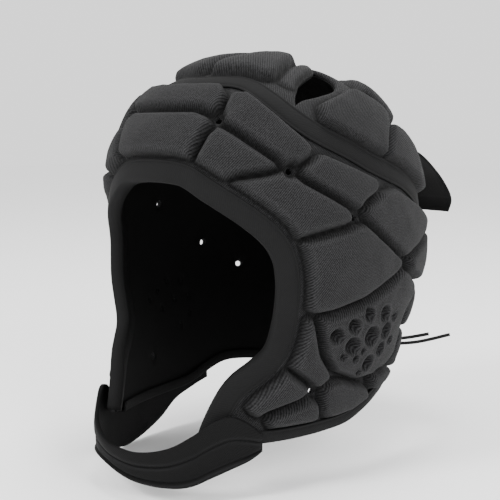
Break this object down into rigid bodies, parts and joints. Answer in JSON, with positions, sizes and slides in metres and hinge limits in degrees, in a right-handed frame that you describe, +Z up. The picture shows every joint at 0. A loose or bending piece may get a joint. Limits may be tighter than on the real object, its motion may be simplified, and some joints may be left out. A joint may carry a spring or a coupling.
{
  "type": "flag football helmet",
  "caption": "Soft padded head guard of ribbed mesh cloth over foam pads, open at the face, with bound edges, a chin strap, a rear strap and a laced split at the back.",
  "frame": {"origin": "on the helmet's middle plane, where the top of a worn head touches the crown lining", "axes": "+Z up, -Y to the wearer's front, +X to the wearer's left"},
  "size_m": [0.1888, 0.2765, 0.253],
  "materials": {
    "ribbed_cloth": "matt charcoal ribbed mesh cloth",
    "black_tape": "matt black woven tape",
    "lining": "matt black lining",
    "cord": "matt black cord"
  },
  "bodies": {
    "root": {"side_panel": "ribbed_cloth", "crown_panel": "ribbed_cloth", "side_lining": "lining", "crown_lining": "lining", "seam_tape": "black_tape", "face_binding": "black_tape", "neck_binding_left": "black_tape", "neck_binding_right": "black_tape", "chin_strap": "black_tape", "rear_strap": "black_tape", "back_lace": "cord", "lace_knot": "cord", "lace_end_upper": "cord", "lace_end_lower": "cord"}
  },
  "joints": []
}
